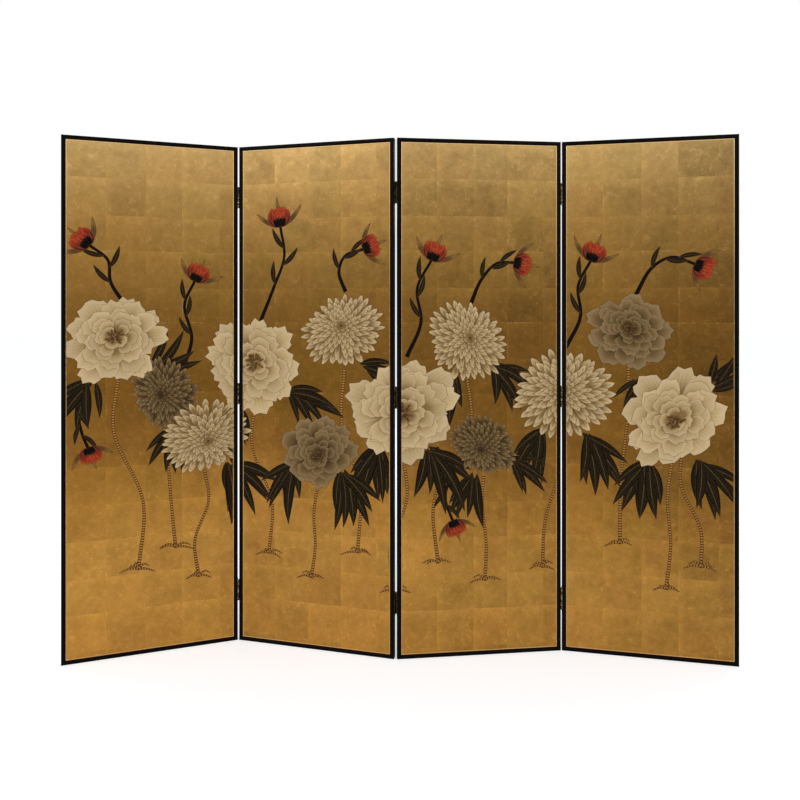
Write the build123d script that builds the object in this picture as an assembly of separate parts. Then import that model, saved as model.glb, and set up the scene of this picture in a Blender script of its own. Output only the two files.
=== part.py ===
"""Four-leaf standing folding screen, in millimetres.

Each leaf is a mitred wooden frame round a sandwich: a face board, a half-lapped
lattice core and a back board. Frame pins hold the frame to the core. Neighbouring
leaves turn on three butt hinges. The outer pairs fold face to face, the middle pair
folds back to back, and the screen stands in a zigzag.

A leaf is drawn with x from its left outer edge, y from its front plane to its back
plane and z up from the floor. The finished screen has its origin at the bottom
centre of its box, +X to the right seen from the front and +Y to the back.
"""
import os

from build123d import *

os.makedirs("parts", exist_ok=True)

# Leaf
leaf_height = 1830.0
leaf_width = 591.4
leaf_depth = 25.0
leaf_gap = 3.4

# Rest pose: heading of the first leaf, then the turn at each fold, in degrees
first_heading = 17.3
rest_turns = (30.4, 18.9, 16.2)

# Frame bar
bar_width = 14.2
bar_flat = 9.2
bar_edge_round = 2.0
bar_rim_round = 1.4
front_recess = 3.0
back_recess = 2.0
back_bevel = 3.0

# Boards and lattice core
face_board_thickness = 3.0
back_board_thickness = 3.0
board_fit = 0.2
slat_width = 20.0
upright_count = 4
crossbar_count = 10

# Butt hinge
hinge_length = 76.0
hinge_inset = 188.0
plate_thickness = 1.5
plate_reach = 20.0
plate_corner = 2.0
knuckle_count = 5
knuckle_radius = 3.2
knuckle_spacing = 0.3
axis_stand_off = 2.1
neck_start = 1.8
pin_radius = 1.6
pin_play = 0.05
pin_cap_radius = 3.0
pin_cap_height = 1.2
pin_cap_round = 0.9

# Hinge screws
screw_radius = 1.75
screw_head_radius = 3.4
screw_length = 19.0
screw_tip = 3.0
screw_slot_width = 0.9
screw_slot_depth = 0.8
screw_pitch = 28.0
screw_count = 3
screw_play = 0.05

# Frame pins
frame_pin_radius = 1.0
frame_pin_head_radius = 1.9
frame_pin_head_height = 0.8
frame_pin_length = 28.0
frame_pin_play = 0.05
frame_pin_end_inset = 70.0
stile_pin_count = 6
rail_pin_count = 3

# Sizes that follow
board_edge = bar_width + board_fit
board_width = leaf_width - 2 * board_edge
board_height = leaf_height - 2 * board_edge
core_front = front_recess + face_board_thickness
core_back = leaf_depth - back_recess - back_board_thickness
core_middle = (core_front + core_back) / 2
half_gap = leaf_gap / 2
knuckle_length = (hinge_length - (knuckle_count - 1) * knuckle_spacing) / knuckle_count
knuckle_pitch = knuckle_length + knuckle_spacing
plate_start = knuckle_radius + knuckle_spacing
screw_line = (plate_start + plate_reach) / 2
hinge_centres = {
    "top": leaf_height - hinge_inset,
    "middle": leaf_height / 2,
    "bottom": hinge_inset,
}

LEFT_KNUCKLES = range(0, knuckle_count, 2)
RIGHT_KNUCKLES = range(1, knuckle_count, 2)


def block(x_span, y_span, z_span):
    """A box between the two limits of each span."""
    spans = (x_span, y_span, z_span)
    middle = [(low + high) / 2 for low, high in spans]
    size = [high - low for low, high in spans]
    return Pos(*middle) * Box(*size)


def spaced(first, last, count):
    """Even places from first to last."""
    step = (last - first) / (count - 1)
    return [first + index * step for index in range(count)]


# ---------------------------------------------------------------- frame


def bar_section():
    """Section of a frame bar: x inwards from its outer edge, y from front to back."""
    back_slope = bar_width - back_bevel
    outline = Polyline(
        (0, 0),
        (bar_flat, 0),
        (bar_width, front_recess),
        (bar_width, leaf_depth - back_recess),
        (back_slope, leaf_depth),
        (0, leaf_depth),
        close=True,
    )
    face = make_face(outline)
    outer = face.vertices().group_by(Axis.X)[0]
    face = fillet(outer, bar_edge_round)
    rim = face.vertices().sort_by_distance((bar_flat, 0))[0]
    return fillet(rim, bar_rim_round)


def mitred_bar(length):
    """A bar along z with its outer edge on x = 0 and both ends mitred."""
    blank = extrude(bar_section(), length)
    mitres = Polyline(
        (0, 0),
        (bar_width, bar_width),
        (bar_width, length - bar_width),
        (0, length),
        close=True,
    )
    return blank & extrude(Plane.XZ * make_face(mitres), leaf_depth, both=True)


def frame_bars():
    """The four bars of one leaf, each in its place."""
    stile = mitred_bar(leaf_height)
    rail = mitred_bar(leaf_width)
    return {
        "left_stile": stile,
        "right_stile": Pos(leaf_width, 0, 0) * mirror(stile, about=Plane.YZ),
        "bottom_rail": Pos(leaf_width, 0, 0) * Rot(0, -90, 0) * rail,
        "top_rail": Pos(0, 0, leaf_height) * Rot(0, 90, 0) * rail,
    }


# ---------------------------------------------------------------- sandwich


def board(front, back):
    """A board that fills the frame between two depths."""
    return block(
        (board_edge, leaf_width - board_edge),
        (front, back),
        (board_edge, leaf_height - board_edge),
    )


def lattice_slats():
    """Uprights and crossbars of the core, halved into each other at every crossing."""
    first = board_edge + slat_width / 2
    columns = spaced(first, leaf_width - first, upright_count)
    rows = spaced(first, leaf_height - first, crossbar_count)
    depth = (core_front, core_back)
    front_half = (core_front, core_middle)
    back_half = (core_middle, core_back)
    across = (board_edge, leaf_width - board_edge)
    along = (board_edge, leaf_height - board_edge)

    def slat_span(middle):
        return (middle - slat_width / 2, middle + slat_width / 2)

    notches = [block(across, front_half, slat_span(row)) for row in rows]
    halvings = [block(slat_span(column), back_half, along) for column in columns]
    uprights = [block(slat_span(column), depth, along) - notches for column in columns]
    crossbars = [block(across, depth, slat_span(row)) - halvings for row in rows]
    return uprights + crossbars


# ---------------------------------------------------------------- frame pins


def frame_pin(play):
    """A headed pin, its head's top at the origin and its point towards -z."""
    shank = Pos(0, 0, -frame_pin_length / 2) * Cylinder(frame_pin_radius + play, frame_pin_length)
    head = Pos(0, 0, -(frame_pin_head_height + play) / 2) * Cylinder(
        frame_pin_head_radius + play, frame_pin_head_height + play
    )
    return shank + head


def frame_pin_places():
    """Where the frame pins go in: head at the outer edge, through the bar, into the core."""
    heights = spaced(frame_pin_end_inset, leaf_height - frame_pin_end_inset, stile_pin_count)
    across = spaced(frame_pin_end_inset, leaf_width - frame_pin_end_inset, rail_pin_count)
    places = [Pos(0, core_middle, z) * Rot(0, -90, 0) for z in heights]
    places += [Pos(leaf_width, core_middle, z) * Rot(0, 90, 0) for z in heights]
    places += [Pos(x, core_middle, leaf_height) for x in across]
    places += [Pos(x, core_middle, 0) * Rot(180, 0, 0) for x in across]
    return places


# ---------------------------------------------------------------- hinges


def screw_outline(play):
    """Half section of a countersunk screw, its head's top on y = 0."""
    shank = screw_radius + play
    head = screw_head_radius + play
    return make_face(
        Polyline(
            (0, 0),
            (head, 0),
            (shank, shank - head),
            (shank, screw_tip - screw_length),
            (0, -screw_length - play),
            close=True,
        )
    )


def turned_screw(play):
    """Solid of revolution of the screw along z, its point towards -z."""
    return revolve(Plane.XZ * screw_outline(play), Axis.Z)


def hinge_screw():
    """A slotted countersunk wood screw."""
    slot = block(
        (-screw_head_radius, screw_head_radius),
        (-screw_slot_width / 2, screw_slot_width / 2),
        (-screw_slot_depth, screw_slot_depth),
    )
    return turned_screw(0) - slot


def hinge_leaf(knuckles):
    """The leaf on the left of a hinge whose axis is z, its plate running towards +y."""
    outer_face = -half_gap
    inner_face = plate_thickness - half_gap
    plate = block((outer_face, inner_face), (plate_start, plate_reach), (0, hinge_length))
    corners = plate.edges().filter_by(Axis.X).group_by(Axis.Y)[-1]
    plate = fillet(corners, plate_corner)
    for knuckle in knuckles:
        low = knuckle * knuckle_pitch
        span = (low, low + knuckle_length)
        barrel = Pos(0, 0, sum(span) / 2) * Cylinder(knuckle_radius, knuckle_length)
        neck = block((outer_face, 0), (neck_start, plate_start), span)
        plate += barrel + neck
    bore = Pos(0, 0, hinge_length / 2) * Cylinder(pin_radius + pin_play, 2 * hinge_length)
    return plate - bore


def hinge_pin():
    """Pin of one hinge with a domed cap on each end of the barrel."""
    shank = Pos(0, 0, hinge_length / 2) * Cylinder(pin_radius, hinge_length)
    cap = Pos(0, 0, pin_cap_height / 2) * Cylinder(pin_cap_radius, pin_cap_height)
    cap = fillet(cap.edges().group_by(Axis.Z)[-1], pin_cap_round)
    return shank + Pos(0, 0, hinge_length) * cap + Rot(180, 0, 0) * cap


def screw_offsets():
    """Heights of the screws of one leaf above the hinge's foot."""
    half_run = screw_pitch * (screw_count - 1) / 2
    middle = hinge_length / 2
    return spaced(middle - half_run, middle + half_run, screw_count)


def drilled(leaf):
    """The leaf with its countersunk screw holes."""
    inner_face = plate_thickness - half_gap
    places = [Pos(inner_face, screw_line, z) * Rot(0, 90, 0) for z in screw_offsets()]
    return leaf - [place * turned_screw(screw_play) for place in places]


# ---------------------------------------------------------------- folds


class Fold:
    """The hinges between two neighbouring leaves.

    A fold at the front closes face to face and has its axis in front of the leaves.
    A fold at the back closes back to back and has its axis behind them.
    """

    def __init__(self, label, turn, at_back):
        self.label = label
        self.turn = turn
        self.at_back = at_back

    def axis_y(self):
        """Depth of the axis, the same in both leaves."""
        return leaf_depth + axis_stand_off if self.at_back else -axis_stand_off

    def screw_y(self):
        """Depth of the screw line, the same in both leaves."""
        inward = -screw_line if self.at_back else screw_line
        return self.axis_y() + inward

    def turned(self, shape):
        """A piece of a front hinge, turned over for a fold at the back."""
        return mirror(shape, about=Plane.XZ) if self.at_back else shape

    def axis_in_left(self):
        """The axis in the frame of the leaf on its left."""
        return Pos(leaf_width + half_gap, self.axis_y(), 0)

    def axis_in_right(self):
        """The axis in the frame of the leaf on its right."""
        return Pos(-half_gap, self.axis_y(), 0)

    def screw_places(self, on_left):
        """Where the screws of all three hinges go into one leaf's stile."""
        x = leaf_width + plate_thickness if on_left else -plate_thickness
        aim = Rot(0, 90, 0) if on_left else Rot(0, -90, 0)
        feet = [centre - hinge_length / 2 for centre in hinge_centres.values()]
        return [Pos(x, self.screw_y(), foot + z) * aim for foot in feet for z in screw_offsets()]


FOLDS = (
    Fold("1_2", rest_turns[0], at_back=False),
    Fold("2_3", rest_turns[1], at_back=True),
    Fold("3_4", rest_turns[2], at_back=False),
)


# ---------------------------------------------------------------- leaves


def leaf_nodes(screw_places):
    """All pieces of one leaf, by name, in the leaf's own frame."""
    pin_places = frame_pin_places()
    bores = [place * frame_pin(frame_pin_play) for place in pin_places]
    bores += [place * turned_screw(screw_play) for place in screw_places]
    nodes = {name: bar - bores for name, bar in frame_bars().items()}
    nodes["face_board"] = board(front_recess, core_front)
    nodes["back_board"] = board(core_back, leaf_depth - back_recess)
    nodes["core_lattice"] = Compound([slat - bores for slat in lattice_slats()])
    nodes["frame_pins"] = Compound([place * frame_pin(0) for place in pin_places])
    nodes["hinge_screws"] = Compound([place * hinge_screw() for place in screw_places])
    return nodes


def leaf_locations():
    """Rest place of each leaf: each fold's axis is shared by its two leaves."""
    locations = [Rot(0, 0, first_heading)]
    for fold in FOLDS:
        turn = fold.turn if fold.at_back else -fold.turn
        axis = locations[-1] * fold.axis_in_left()
        locations.append(axis * Rot(0, 0, turn) * fold.axis_in_right().inverse())
    return locations


def screen_nodes():
    """Every node of the screen at rest, before it is centred."""
    nodes = {}
    locations = leaf_locations()
    for index, location in enumerate(locations):
        places = FOLDS[index].screw_places(on_left=True) if index < len(FOLDS) else []
        if index > 0:
            places = places + FOLDS[index - 1].screw_places(on_left=False)
        for name, shape in leaf_nodes(places).items():
            nodes[f"panel_{index + 1}_{name}"] = location * shape
    left_leaf = drilled(hinge_leaf(LEFT_KNUCKLES))
    right_leaf = drilled(hinge_leaf(RIGHT_KNUCKLES))
    for index, fold in enumerate(FOLDS):
        left_axis = locations[index] * fold.axis_in_left()
        right_axis = locations[index + 1] * fold.axis_in_right()
        left = fold.turned(left_leaf)
        right = fold.turned(mirror(right_leaf, about=Plane.YZ))
        feet = {level: Pos(0, 0, z - hinge_length / 2) for level, z in hinge_centres.items()}
        for level, foot in feet.items():
            nodes[f"hinge_{fold.label}_{level}_left_leaf"] = left_axis * foot * left
            nodes[f"hinge_{fold.label}_{level}_right_leaf"] = right_axis * foot * right
        pins = Compound([foot * hinge_pin() for foot in feet.values()])
        nodes[f"hinge_{fold.label}_pins"] = left_axis * pins
    return nodes


def main():
    """Build the screen, centre it on its origin, write the parts and print the axes."""
    nodes = screen_nodes()
    box = Compound(list(nodes.values())).bounding_box()
    centre = box.center()
    to_origin = Pos(-centre.X, -centre.Y, -box.min.Z)
    for name, shape in nodes.items():
        export_step(to_origin * shape, f"parts/{name}.step")
    print("size", box.size)
    for index, location in enumerate(leaf_locations()):
        corner = to_origin * location
        print("leaf", index + 1, corner.position, "heading", corner.orientation.Z)
        if index < len(FOLDS):
            axis = to_origin * location * FOLDS[index].axis_in_left()
            print("fold", FOLDS[index].label, axis.position)


main()
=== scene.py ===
"""Looks for a four-leaf folding screen with gold leaf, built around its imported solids.

Sizes are in metres, and the tables of the painting are in millimetres. A place on a leaf is (x, z): x runs
along the leaf from the left edge of its gold field, and z is the height above the floor. A place in the
painting is (s, z): s runs along all four leaves as if the screen stood in one straight line. Gold and paint
are flakes: thin closed sheets with a flat back.
"""

import logging
import math
from collections import defaultdict
from dataclasses import dataclass, field, replace
from enum import Enum
from typing import Union

import bmesh
import bpy
import numpy as np
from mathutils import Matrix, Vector


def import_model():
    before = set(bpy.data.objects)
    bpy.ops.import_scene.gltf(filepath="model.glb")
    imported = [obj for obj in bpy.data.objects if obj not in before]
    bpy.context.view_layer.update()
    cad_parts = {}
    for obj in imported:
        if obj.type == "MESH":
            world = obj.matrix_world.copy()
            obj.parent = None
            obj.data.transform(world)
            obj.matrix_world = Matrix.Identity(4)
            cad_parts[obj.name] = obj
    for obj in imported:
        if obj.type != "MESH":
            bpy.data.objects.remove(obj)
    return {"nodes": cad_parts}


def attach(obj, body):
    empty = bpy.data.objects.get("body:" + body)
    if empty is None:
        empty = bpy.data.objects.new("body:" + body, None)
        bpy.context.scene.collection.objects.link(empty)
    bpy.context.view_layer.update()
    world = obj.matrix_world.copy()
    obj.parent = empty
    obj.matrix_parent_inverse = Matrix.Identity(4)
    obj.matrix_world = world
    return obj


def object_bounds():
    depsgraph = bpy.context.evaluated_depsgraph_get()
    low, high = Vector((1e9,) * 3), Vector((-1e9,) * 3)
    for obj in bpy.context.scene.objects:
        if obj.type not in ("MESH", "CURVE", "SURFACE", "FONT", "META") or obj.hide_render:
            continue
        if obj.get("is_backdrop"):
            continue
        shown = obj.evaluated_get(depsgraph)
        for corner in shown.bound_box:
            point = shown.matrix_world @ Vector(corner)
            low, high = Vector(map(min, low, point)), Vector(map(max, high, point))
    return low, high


log = logging.getLogger("folding_screen")

MM = 0.001
LEAF_COUNT = 4
SCREEN_HEIGHT = 1.83
GOLD_SEED = 7
PAINTING_SEED = 41
WHITE = (1.0, 1.0, 1.0, 1.0)

Colour = tuple[int, int, int]
Stops = tuple[tuple[float, Colour], ...]
Triple = tuple[float, float, float]
Socket = bpy.types.NodeSocket
Feed = Union[Socket, float, tuple[float, ...]]
Random = np.random.Generator


def linear(colour: Colour) -> tuple[float, ...]:
    """Turns a display colour into the linear colour that shaders take.

    Args:
        colour: red, green and blue from 0 to 255, as they look on a screen.

    Returns:
        Linear red, green, blue and an alpha of 1.
    """
    share = np.array(colour) / 255
    value = np.where(share <= 0.04045, share / 12.92, ((share + 0.055) / 1.055) ** 2.4)
    return (*map(float, value), 1.0)


def millimetres(*values: object) -> np.ndarray:
    """Sizes or places given in millimetres, as an array in metres."""
    return np.array(values, float) * MM


def add_object(name: str, data: bpy.types.ID) -> bpy.types.Object:
    """Adds a mesh, camera or light to the scene.

    Args:
        name: the object's name.
        data: the mesh, camera or light.

    Returns:
        The new object, at the origin.
    """
    thing = bpy.data.objects.new(name, data)
    bpy.context.scene.collection.objects.link(thing)
    return thing


def add_piece(mesh: bpy.types.Mesh, finish: bpy.types.Material, body: str) -> None:
    """Dresses a finished mesh and adds it as a piece of the gold face.

    Args:
        mesh: the mesh, in its place at rest.
        finish: the material that dresses it.
        body: the CAD body that it rides on.
    """
    mesh.materials.append(finish)
    piece = add_object(mesh.name, mesh)
    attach(piece, body)
    log.info("%s: %d faces", mesh.name, len(mesh.polygons))


class Wiring:
    """Short calls that add nodes to a material or a world."""

    def __init__(self, tree: bpy.types.NodeTree) -> None:
        """Empties the node tree that the calls then fill."""
        self.tree = tree
        tree.nodes.clear()

    def put(self, socket: Socket, value: Feed) -> None:
        """Links an input to another node's output, or writes a plain value into it.

        Args:
            socket: the input.
            value: what it gets.
        """
        if isinstance(value, Socket):
            self.tree.links.new(value, socket)
        else:
            socket.default_value = value

    def node(self, kind: str, inputs: dict[Union[str, int], Feed], **options: str) -> bpy.types.Node:
        """Adds one node.

        Args:
            kind: the node's type, less the word ShaderNode.
            inputs: what its inputs get, by their names or numbers.
            options: its own options.

        Returns:
            The new node.
        """
        node = self.tree.nodes.new(f"ShaderNode{kind}")
        for option, value in options.items():
            setattr(node, option, value)
        for key, value in inputs.items():
            self.put(node.inputs[key], value)
        return node

    def math(self, operation: str, first: Feed, second: Feed = 0.0, third: Feed = 0.0) -> Socket:
        """One step of arithmetic."""
        return self.node("Math", {0: first, 1: second, 2: third}, operation=operation).outputs[0]

    def seen_directly(self) -> Socket:
        """Tells the rays of the camera and of reflections from soft light.

        Returns:
            A socket that is 1 for those rays and 0 for the others.
        """
        rays = self.node("LightPath", {}).outputs
        straight = self.math("MAXIMUM", rays["Is Camera Ray"], rays["Is Glossy Ray"])
        return self.math("MAXIMUM", straight, rays["Is Transmission Ray"])


class Shader(Wiring):
    """A material with one Principled shader, and short calls that add its pattern."""

    def __init__(self, name: str, roughness: float, metallic: float = 0.0, specular: float = 0.5) -> None:
        """Starts the material.

        Args:
            name: the material's name.
            roughness: the shader's own roughness, where no node drives it.
            metallic: the share of the surface that is metal.
            specular: the shader's specular level.
        """
        self.material = bpy.data.materials.new(name)
        self.material.use_nodes = True
        super().__init__(self.material.node_tree)
        own = {"Roughness": roughness, "Metallic": metallic, "Specular IOR Level": specular}
        self.surface = self.node("BsdfPrincipled", own)
        self.node("OutputMaterial", {"Surface": self.surface.outputs["BSDF"]})

    def times(self, first: Feed, second: Feed) -> Socket:
        """The product of two numbers."""
        return self.math("MULTIPLY", first, second)

    def plus(self, first: Feed, second: Feed) -> Socket:
        """The sum of two numbers."""
        return self.math("ADD", first, second)

    def swing(self, source: Feed, size: float) -> Socket:
        """Noise about 0.5 as a number about 0, with that size from end to end."""
        return self.math("MULTIPLY_ADD", source, size, -size / 2)

    def scaled(self, vector: Feed, factor: Feed) -> Socket:
        """A vector or a colour times a number."""
        return self.node("VectorMath", {0: vector, "Scale": factor}, operation="SCALE").outputs[0]

    def band(self, value: Feed, low: float, high: float, start: float = 0.0, end: float = 1.0) -> Socket:
        """Maps a value smoothly from low..high to start..end, and holds it outside."""
        inputs = {"Value": value, "From Min": low, "From Max": high, "To Min": start, "To Max": end}
        return self.node("MapRange", inputs, interpolation_type="SMOOTHSTEP").outputs["Result"]

    def mix(self, share: Feed, first: Feed, second: Feed, blend: str = "MIX") -> Socket:
        """A colour that goes from the first to the second with the share."""
        inputs = {0: share, 6: first, 7: second}
        return self.node("Mix", inputs, data_type="RGBA", blend_type=blend).outputs[2]

    def ramp(self, value: Feed, stops: Stops) -> Socket:
        """A colour that follows a value.

        Args:
            value: the value.
            stops: two or more values from 0 to 1 in rising order, each with its colour.

        Returns:
            The colour's socket.
        """
        node = self.node("ValToRGB", {0: value})
        elements = node.color_ramp.elements
        for element, (place, colour) in zip(elements, (stops[0], stops[-1])):
            element.position = place
            element.color = linear(colour)
        for place, colour in stops[1:-1]:
            elements.new(place).color = linear(colour)
        return node.outputs["Color"]

    def place(self, stretch: Triple = (1, 1, 1)) -> Socket:
        """Object coordinates, times a factor in each direction."""
        place = self.node("TexCoord", {}).outputs["Object"]
        return self.node("VectorMath", {0: place, 1: stretch}, operation="MULTIPLY").outputs[0]

    def noise(self, vector: Feed, scale: float, detail: float = 2.0, rough: float = 0.5) -> Socket:
        """Soft noise about 0.5 over a vector."""
        inputs = {"Vector": vector, "Scale": scale, "Detail": detail, "Roughness": rough}
        return self.node("TexNoise", inputs).outputs["Fac"]

    def split(self, vector: Feed) -> list[Socket]:
        """The three parts of a vector."""
        return list(self.node("SeparateXYZ", {0: vector}).outputs)

    def stroke(self) -> list[Socket]:
        """The flake's own two shares, along it and across it, from its UV map, and an unused third."""
        return self.split(self.node("UVMap", {}, uv_map="stroke").outputs["UV"])

    def attribute(self, name: str) -> Socket:
        """A number that the mesh carries at each point."""
        return self.node("Attribute", {}, attribute_name=name).outputs["Fac"]

    def colour(self, value: Feed) -> None:
        """Sets the shader's colour."""
        self.put(self.surface.inputs["Base Color"], value)

    def rough(self, value: Feed) -> None:
        """Lets a node drive the shader's roughness."""
        self.put(self.surface.inputs["Roughness"], value)

    def bump(self, height: Feed, depth: float, strength: float = 0.5) -> None:
        """Turns a height from 0 to 1 into bump of that depth in metres."""
        node = self.node("Bump", {"Distance": depth, "Strength": strength, "Height": height})
        self.put(self.surface.inputs["Normal"], node.outputs["Normal"])


@dataclass(frozen=True)
class LacquerFinish:
    """Black lacquer over wood, rubbed to brown in places."""

    name: str
    body: Colour
    rubbed: Colour
    roughness: float
    specular: float
    rubbed_share: float = 0.3

    def material(self) -> bpy.types.Material:
        """Lacquer with drifts of brown, fine brush lines along the height and dust in its sheen.

        Returns:
            The finished material.
        """
        shader = Shader(self.name, self.roughness, specular=self.specular)
        drift = shader.noise(shader.place((9, 9, 3)), 1.6, 4, 0.6)
        speck = shader.noise(shader.place((160, 160, 60)), 1.0)
        share = shader.times(shader.band(drift, 0.5, 0.78), shader.band(speck, 0.35, 0.7))
        share = shader.times(share, self.rubbed_share)
        shader.colour(shader.mix(share, linear(self.body), linear(self.rubbed)))
        shader.rough(shader.band(drift, 0.3, 0.75, self.roughness - 0.06, self.roughness + 0.1))
        shader.bump(speck, 0.05 * MM)
        return shader.material


@dataclass(frozen=True)
class MetalFinish:
    """Old metal: a dark tarnish that is rubbed bright in spots."""

    name: str
    bright: Colour
    tarnish: Colour
    roughness: float
    tarnish_share: float
    metallic: float = 0.9

    def material(self) -> bpy.types.Material:
        """Metal whose tarnish, polish and fine scratches follow soft noise.

        Returns:
            The finished material.
        """
        shader = Shader(self.name, self.roughness, self.metallic, 0.4)
        cloud = shader.noise(shader.place(), 130, 4, 0.6)
        scratch = shader.noise(shader.place((900, 900, 140)), 1.0)
        lift = self.tarnish_share * 0.4
        share = shader.band(cloud, 0.62 - lift, 0.86 - lift)
        shader.colour(shader.mix(share, linear(self.tarnish), linear(self.bright)))
        shader.rough(shader.band(cloud, 0.3, 0.7, self.roughness + 0.12, self.roughness - 0.08))
        shader.bump(scratch, 0.04 * MM, 0.6)
        return shader.material


@dataclass(frozen=True)
class SoftwoodFinish:
    """Pale planed softwood with growth rings and fibres along the height."""

    name: str
    early: Colour
    late: Colour
    roughness: float = 0.7
    specular: float = 0.3
    ring_count: float = 14.0

    def material(self) -> bpy.types.Material:
        """Rings from stretched noise folded into bands, with fine fibres over them.

        Returns:
            The finished material.
        """
        shader = Shader(self.name, self.roughness, specular=self.specular)
        drift = shader.noise(shader.place((26, 26, 1.4)), 1.0)
        rings = shader.math("FRACT", shader.times(drift, self.ring_count))
        fibre = shader.noise(shader.place((700, 700, 18)), 1.0, 3)
        share = shader.times(shader.band(rings, 0.45, 1.0), shader.band(fibre, 0.2, 0.8))
        shader.colour(shader.mix(share, linear(self.early), linear(self.late)))
        shader.bump(fibre, 0.08 * MM, 0.6)
        return shader.material


@dataclass(frozen=True)
class GoldLeafFinish:
    """Squares of metal leaf with painted reflection over the height, darkest at half of the height, and
    painted shade along the screen.

    Attributes:
        seam: the bright colour of laps and scratches.
        warm, cool: the tints between which each square has its own.
        worn: the tint of the wisps where the leaf is worn.
        scatter: how far a square's tone shifts its noise, so that no two squares repeat.
        stops: painted reflection and shade from the floor to the top: bright low and high, darkest at half of
            the height.
        steps: painted shade along the screen, darker near folds and at the right end: start, end and change
            of each.
    """

    name: str = "gold_leaf_painted_light"
    metallic: float = 0.35
    roughness: float = 0.46
    specular: float = 0.08
    seam: Colour = (206, 172, 108)
    warm: tuple[float, ...] = (1.03, 0.985, 0.95, 1.0)
    cool: tuple[float, ...] = (0.985, 1.01, 0.94, 1.0)
    worn: tuple[float, ...] = (1.0, 1.02, 1.12, 1.0)
    scatter: Triple = (37.0, 46.0, 55.0)
    stops: Stops = (
        (0.00, (171, 123, 54)), (0.20, (172, 125, 56)), (0.30, (157, 112, 46)), (0.40, (129, 89, 33)),
        (0.52, (111, 76, 23)), (0.65, (115, 80, 29)), (0.78, (137, 102, 47)), (0.88, (153, 118, 63)),
        (0.95, (171, 136, 80)), (1.00, (180, 146, 91)),
    )
    steps: tuple[Triple, ...] = (
        (-0.70, -0.61, -0.035), (-0.60, -0.59, -0.080), (-0.59, -0.02, 0.085), (-0.01, 0.00, -0.030),
        (0.00, 0.45, -0.140), (0.58, 0.60, 0.190), (0.60, 1.17, -0.300),
    )

    def crease(self, shader: Shader, own: Socket, scale: float, width: float) -> Socket:
        """Thin curved lines, where soft noise passes its middle value.

        Args:
            shader: the material being built.
            own: the square's own place.
            scale: how many swings the noise makes in a metre.
            width: how far from its middle the noise may be, on a line.

        Returns:
            A socket that is 1 on a line and 0 off it.
        """
        off_middle = shader.math("ABSOLUTE", shader.math("SUBTRACT", shader.noise(own, scale), 0.5))
        return shader.band(off_middle, width, width / 4)

    def material(self) -> bpy.types.Material:
        """Painted reflection follows the height, with painted shade along the screen; each square has its own
        tone, tint, clouds and creases.

        Returns:
            The finished material.
        """
        shader = Shader(self.name, self.roughness, self.metallic, self.specular)
        place = shader.place()
        length, _, height = shader.split(place)
        drift = shader.noise(shader.place((2.2, 2.2, 1.1)), 1.0)
        level = shader.plus(shader.math("DIVIDE", height, SCREEN_HEIGHT), shader.swing(drift, 0.08))
        # Painted shade: low on the screen, the gold darkens into the dark band towards the right.
        painted_shade_spread = shader.times(shader.band(length, -0.4, 0.9, 0.0, 0.06), shader.band(level, 0.55, 0.3))
        # Painted reflection and shade: the ramp over the height is bright near the floor and the top, and
        # darkest at half of the height.
        painted_reflection = shader.ramp(shader.plus(level, painted_shade_spread), self.stops)
        right, up, _ = shader.stroke()
        tone = shader.attribute("tone")
        shifted = shader.node("VectorMath", {0: tone, 1: self.scatter, 2: place}, operation="MULTIPLY_ADD")
        own = shifted.outputs[0]
        cloud = shader.noise(own, 15.0, 3, 0.55)
        wisp = shader.noise(own, 48.0, 5, 0.68)
        fleck = shader.noise(own, 170.0, 4, 0.7)
        grain = shader.noise(own, 420.0, 2, 0.6)
        creases = [self.crease(shader, own, scale, width) for scale, width in ((11.0, 0.012), (26.0, 0.014))]
        crease = shader.times(shader.math("MAXIMUM", *creases), shader.band(wisp, 0.46, 0.60))
        swings = ((cloud, 0.46), (wisp, 0.46), (fleck, 0.36), (grain, 0.16))
        # Painted shade: the steps darken the gold near the folds and towards the right end of the screen.
        changes = [shader.band(length, start, end, 0.0, change) for start, end, change in self.steps]
        changes += [shader.swing(source, size) for source, size in swings]
        # Painted highlight: the creases are lighter in colour, as ridges that catch the light; they are
        # bumped as well.
        changes += [shader.times(crease, 0.21)]
        changes += [shader.band(right, 0.70, 1.0, 0.0, 0.11), shader.band(up, 0.24, 0.0, 0.0, 0.08)]
        value = shader.math("MULTIPLY_ADD", tone, 0.17, 0.955)
        for change in changes:
            value = shader.plus(value, change)
        tint = shader.mix(shader.math("FRACT", shader.times(tone, 7.3)), self.warm, self.cool)
        tint = shader.mix(shader.band(wisp, 0.45, 0.7), tint, self.worn)
        colour = shader.mix(1.0, painted_reflection, shader.scaled(tint, value), "MULTIPLY")
        edge = shader.math("MINIMUM", shader.math("SUBTRACT", 1.0, right), up)
        seam = shader.times(shader.band(edge, 0.028, 0.006), shader.band(fleck, 0.44, 0.60))
        seam = shader.times(seam, shader.band(cloud, 0.44, 0.62))
        scratch = shader.times(shader.band(fleck, 0.58, 0.72), shader.band(wisp, 0.52, 0.66))
        bright = shader.plus(shader.times(seam, 0.36), shader.times(scratch, 0.34))
        shader.colour(shader.mix(bright, colour, linear(self.seam)))
        shader.rough(shader.band(cloud, 0.3, 0.7, self.roughness + 0.08, self.roughness - 0.08))
        wrinkle = shader.plus(shader.times(wisp, 0.45), shader.times(fleck, 0.35))
        shader.bump(shader.math("MULTIPLY_ADD", crease, 0.2, wrinkle), 0.25 * MM)
        return shader.material


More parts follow.
